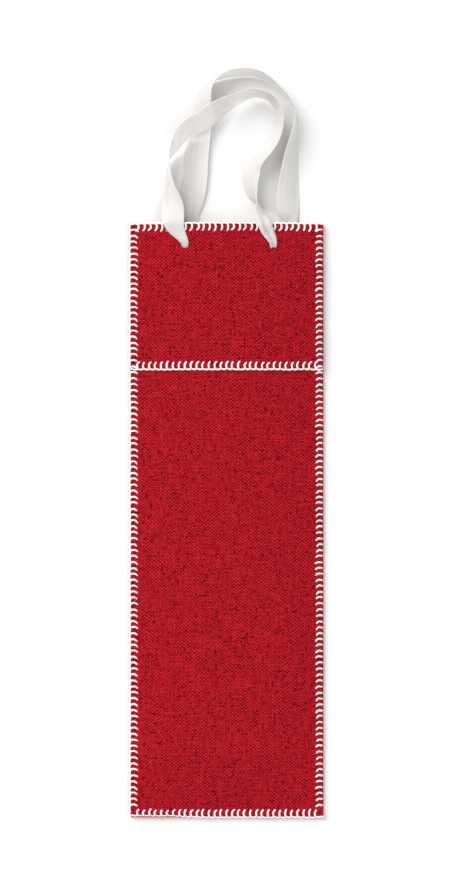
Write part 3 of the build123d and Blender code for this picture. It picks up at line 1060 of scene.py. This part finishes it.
@dataclass
class Loops:
    """The two ribbon loops and the knots that hold them inside the bag."""

    shape: BagShape
    knot: float = 4.5
    knot_drop: float = 7.5
    ribbon_width: float = 16.0
    front_height: float = 87.5
    back_height: float = 102.4
    knot_yarn: float = 1.3
    knot_height: float = 4.8
    knot_room: float = 0.25
    stem: float = 1.7
    stem_taper: float = 0.2
    folds: int = 5
    fold_depth: float = 0.08
    tail_width: float = 7.0
    tail_thickness: float = 0.3

    def holes(self, face: str) -> Array:
        """X and Y of a face's left and right holes, from the boxes of the knots under them."""
        left_low, left_high = (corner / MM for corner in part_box(face + "_left_knot"))
        right_low, _ = (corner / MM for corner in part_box(face + "_right_knot"))
        y = left_high.y - self.knot_drop if face == "front" else left_low.y + self.knot_drop
        return np.array([[left_high.x - self.knot, y], [right_low.x + self.knot, y]])

    def front_stations(self) -> list[Station]:
        """The front loop, from its left hole round to its right one."""
        bag = [
            (-1.000, -15.9, -2.4, -8, 0.24),
            (-1.000, -15.2, -0.5, -8, 0.27),
            (-1.000, -13.6, 0.5, -8, 0.31),
            (-1.090, -7.9, 1.0, -8, 0.48),
            (-1.235, -0.3, 1.3, -9, 0.84),
        ]
        loop = [
            (-1.280, 0.096, 0.487, -15, 1.0),
            (-1.340, 0.251, 0.163, -56, 1.0),
            (-1.340, 0.502, 0.125, -90, 1.0),
            (-1.215, 0.598, 0.188, -112, 1.0),
            (-0.963, 0.726, 0.344, -130, 1.0),
            (-0.640, 0.785, 0.469, -140, 1.0),
            (-0.267, 0.878, 0.406, -133, 1.0),
            (0.125, 0.950, 0.344, -113, 1.0),
            (0.546, 1.000, 0.281, -106, 1.0),
            (0.909, 0.973, 0.219, -103, 1.0),
            (1.131, 0.880, 0.188, -106, 1.0),
            (1.165, 0.775, 0.156, -106, 1.0),
            (1.096, 0.675, 0.125, -109, 1.0),
            (0.892, 0.575, 0.094, -116, 1.0),
            (0.615, 0.482, 0.062, -128, 1.0),
            (0.500, 0.391, 0.050, -138, 1.0),
            (0.512, 0.290, 0.062, -126, 1.0),
            (0.640, 0.174, 0.125, -93, 1.0),
            (0.734, 0.104, 0.362, -58, 0.80),
        ]
        back_on_bag = [
            (0.800, 0.9, 1.4, -20, 0.62),
            (0.886, -5.7, 1.1, -12, 0.53),
            (1.000, -13.6, 0.5, -8, 0.31),
            (1.000, -15.2, -0.5, -8, 0.27),
            (1.000, -15.9, -2.4, -8, 0.24),
        ]
        return (
            [Station(*spot, on_bag=True) for spot in bag]
            + [
                Station(across, up * self.front_height, low * self.ribbon_width, roll, width)
                for across, up, low, roll, width in loop
            ]
            + [Station(*spot, on_bag=True) for spot in back_on_bag]
        )

    def back_stations(self) -> list[Station]:
        """The back loop, from its left hole under the bag, round the rim and back to its right."""
        left = [
            (-1.000, -22.4, 2.4, 0, 0.24),
            (-1.000, -21.8, 0.9, 0, 0.27),
            (-1.000, -20.2, 0.1, 0, 0.31),
            (-1.020, -14.0, 0.05, 0, 0.55),
            (-1.055, -6.0, 0.05, 0, 0.80),
            (-1.071, 1.6, 0.05, 0, 0.82),
        ]
        loop = [
            (-1.017, 0.129, -3),
            (-0.903, 0.273, -8),
            (-0.862, 0.458, -10),
            (-0.778, 0.676, -25),
            (-0.711, 0.808, -47),
            (-0.496, 0.933, -82),
            (-0.200, 0.981, -99),
            (0.187, 1.000, -104),
            (0.573, 0.986, -101),
            (0.966, 0.906, -97),
            (1.336, 0.762, -90),
            (1.380, 0.643, -77),
            (1.303, 0.491, -59),
            (1.232, 0.307, -40),
            (1.208, 0.129, -20),
        ]
        right = [
            (1.222, 1.6, 0.05, 0, 0.73),
            (1.150, -6.0, 0.05, 0, 0.72),
            (1.060, -14.0, 0.05, 0, 0.55),
            (1.000, -20.2, 0.1, 0, 0.31),
            (1.000, -21.8, 0.9, 0, 0.27),
            (1.000, -22.4, 2.4, 0, 0.24),
        ]
        return (
            [Station(*spot) for spot in left]
            + [Station(across, up * self.back_height, 0.0, roll) for across, up, roll in loop]
            + [Station(*spot) for spot in right]
        )

    def tie_knot(self, face: str, side: Side, hole: Array, finishes: Finishes) -> None:
        """One overhand knot: a trefoil, whose place is a sine and a double sine of one angle, a
        neck through the hole and a cut tail that curls a little.

        Args:
            face: front or back.
            side: left or right.
            hole: x and y of its hole.
            finishes: the bag's finishes.
        """
        node = f"{face}_{side.name.lower()}_knot"
        low, high = (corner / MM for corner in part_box(node))
        seat = self.shape.back_floor + 2 * self.shape.cloth + self.knot_room
        offset = self.knot_drop - self.knot
        centre_y = hole[1] + (offset if face == "front" else -offset)
        crown = min(high.z, seat + self.knot_height)
        middle = (seat + crown) / 2
        angle = np.linspace(0, 2 * np.pi, 72, endpoint=False)
        reach = (self.knot - self.knot_yarn) / 3
        lump = np.stack(
            [
                hole[0] + reach * (np.sin(angle) + 2 * np.sin(2 * angle)),
                centre_y + reach * (np.cos(angle) - 2 * np.cos(2 * angle)),
                middle - ((crown - seat) / 2 - self.knot_yarn) * np.sin(3 * angle),
            ],
            axis=-1,
        )
        flutes = 1 + self.fold_depth * np.cos(self.folds * 2 * np.pi * np.arange(12) / 12)
        tied = tubes(lump[None], self.knot_yarn * flutes, UP, 12, closed=True)
        far = high.z if face == "front" else low.z
        rise = np.linspace(0, 1, 10)
        neck_y = centre_y + (hole[1] - centre_y) * ease(rise * 1.6)
        neck = np.stack([hole[0] + 0 * rise, neck_y, middle + (far - middle) * rise], axis=-1)
        radius = self.stem - self.stem_taper * rise[None, :, None]
        stem = tubes(neck[None], radius, np.array([1.0, 0.0, 0.0]), 12)
        length = high.x - low.x - self.knot - 1.0
        along, across = np.meshgrid(np.linspace(0, 1, 24), np.linspace(-0.5, 0.5, 9), indexing="ij")
        width = self.tail_width * (0.5 + 0.5 * ease(along * 3))
        strip = np.stack(
            [
                hole[0] + side.value * along * length,
                centre_y + across * width * -side.value,
                seat + 0.7 + 0.35 * np.sin(along * 5) + 0.5 * (0.25 - across**2),
            ],
            axis=-1,
        )
        uv = np.stack([across * self.tail_width, along * length], axis=-1) * MM
        surface = tied.joined(stem).joined(sheet_surface(strip, self.tail_thickness, uv, lip=0.2))
        piece = make_object(node + "_tied", surface, finishes.satin)
        finish_piece(piece, Body.BAG, Slot.SATIN, node)

    def build(self, finishes: Finishes) -> None:
        """Builds both loops and all four knots.

        Args:
            finishes: the bag's finishes.
        """
        turns = {joint["child"]: joint["pos_m"][1] / MM for joint in frame["joints"]}
        back_nodes = ("back_handle", "back_left_lead", "back_right_lead")
        plans = (
            ("front", ("front_handle",), Body.FRONT_LOOP, self.front_stations()),
            ("back", back_nodes, Body.BACK_LOOP, self.back_stations()),
        )
        for face, nodes, body, stations in plans:
            holes = self.holes(face)
            ribbon = Ribbon(face + "_ribbon", nodes, body, holes, stations, turns[body.value], self.shape)
            ribbon.build(finishes)
            for side, hole in zip(Side, holes):
                self.tie_knot(face, side, hole, finishes)


# ------------------------------------------------------------------ studio
@dataclass
class Studio:
    """A white sheet under the bag, two soft lights and a camera straight above."""

    floor_size: float = 12.0
    floor_height: float = -1.0
    distance: float = 2.0
    aim: tuple[float, float, float] = (3.7, 0.17, 3.0)
    view_height: float = 598.1
    sensor: float = 36.0
    key_strength: float = 3.0
    key_width: float = 50.0
    key_azimuth: float = 135.0
    key_elevation: float = 44.0
    top_strength: float = 1.7
    top_width: float = 85.0
    top_azimuth: float = -45.0
    top_elevation: float = 60.0
    fill: float = 0.12

    def backdrop(self) -> bpy.types.Material:
        """Matt white paper, with a faint tooth."""
        material, tree = new_material("white_matt_paper")
        place = add(tree, "TexCoord")
        tooth = add(tree, "TexNoise", None, {"Vector": place.outputs["Object"], "Scale": 900.0})
        colour = set_ramp(add(tree, "ValToRGB", None, {0: tooth}), [(0.3, "eaeaea"), (0.7, "ededed")])
        bump = add(tree, "Bump", None, {"Height": tooth, "Strength": 0.05, "Distance": 0.05 * MM})
        dressed = {"Base Color": colour, "Roughness": 0.95, "Normal": bump, "Specular IOR Level": 0.1}
        shade(tree, dressed)
        return material

    def build(self) -> None:
        """Lays the floor, hangs the lights, fills the world and sets the camera."""
        x, y = np.meshgrid([-1.0, 1.0], [-1.0, 1.0])
        half = self.floor_size / 2 / MM
        points = np.stack([x * half, y * half, 0 * x + self.floor_height], axis=-1).reshape(-1, 3)
        faces, wide = grid_faces(2, 2)
        surface = Surface(points, faces, points[wide][..., :2] * MM, np.zeros(4))
        make_object("paper_sweep", surface, self.backdrop())
        for name, strength, width, azimuth, elevation in (
            ("key_light", self.key_strength, self.key_width, self.key_azimuth, self.key_elevation),
            ("top_light", self.top_strength, self.top_width, self.top_azimuth, self.top_elevation),
        ):
            lamp = bpy.data.lights.new(name, "SUN")
            lamp.energy = strength
            lamp.angle = math.radians(width)
            holder = bpy.data.objects.new(name, lamp)
            holder.rotation_euler = (math.radians(90.0 - elevation), 0.0, math.radians(azimuth + 90.0))
            bpy.context.scene.collection.objects.link(holder)
        world = bpy.data.worlds.new("studio_walls")
        world.use_nodes = True
        world.node_tree.nodes["Background"].inputs["Color"].default_value = linear("ffffff")
        world.node_tree.nodes["Background"].inputs["Strength"].default_value = self.fill
        bpy.context.scene.world = world
        eye = bpy.data.cameras.new("camera")
        eye.sensor_width = self.sensor
        eye.lens = self.sensor * self.distance / (self.view_height * MM)
        eye.clip_end = 20.0
        camera = bpy.data.objects.new("camera", eye)
        camera.location = (self.aim[0] * MM, self.aim[1] * MM, self.aim[2] * MM + self.distance)
        bpy.context.scene.collection.objects.link(camera)
        bpy.context.scene.camera = camera
        bpy.context.scene.view_settings.view_transform = "Standard"


def main() -> None:
    """Builds the studio and the bag's parts in order."""
    logging.basicConfig(level=logging.INFO, format="%(name)s: %(message)s")
    Studio().build()
    finishes = Finishes(WovenJute().make(), TwistedCotton().make(), SatinRibbon().make())
    shape = BagShape()
    loops = Loops(shape)
    ClothSheets(shape).build(finishes, loops.holes("front"))
    BlanketStitching(shape).build(finishes)
    loops.build(finishes)


if __name__ == "__main__":
    main()
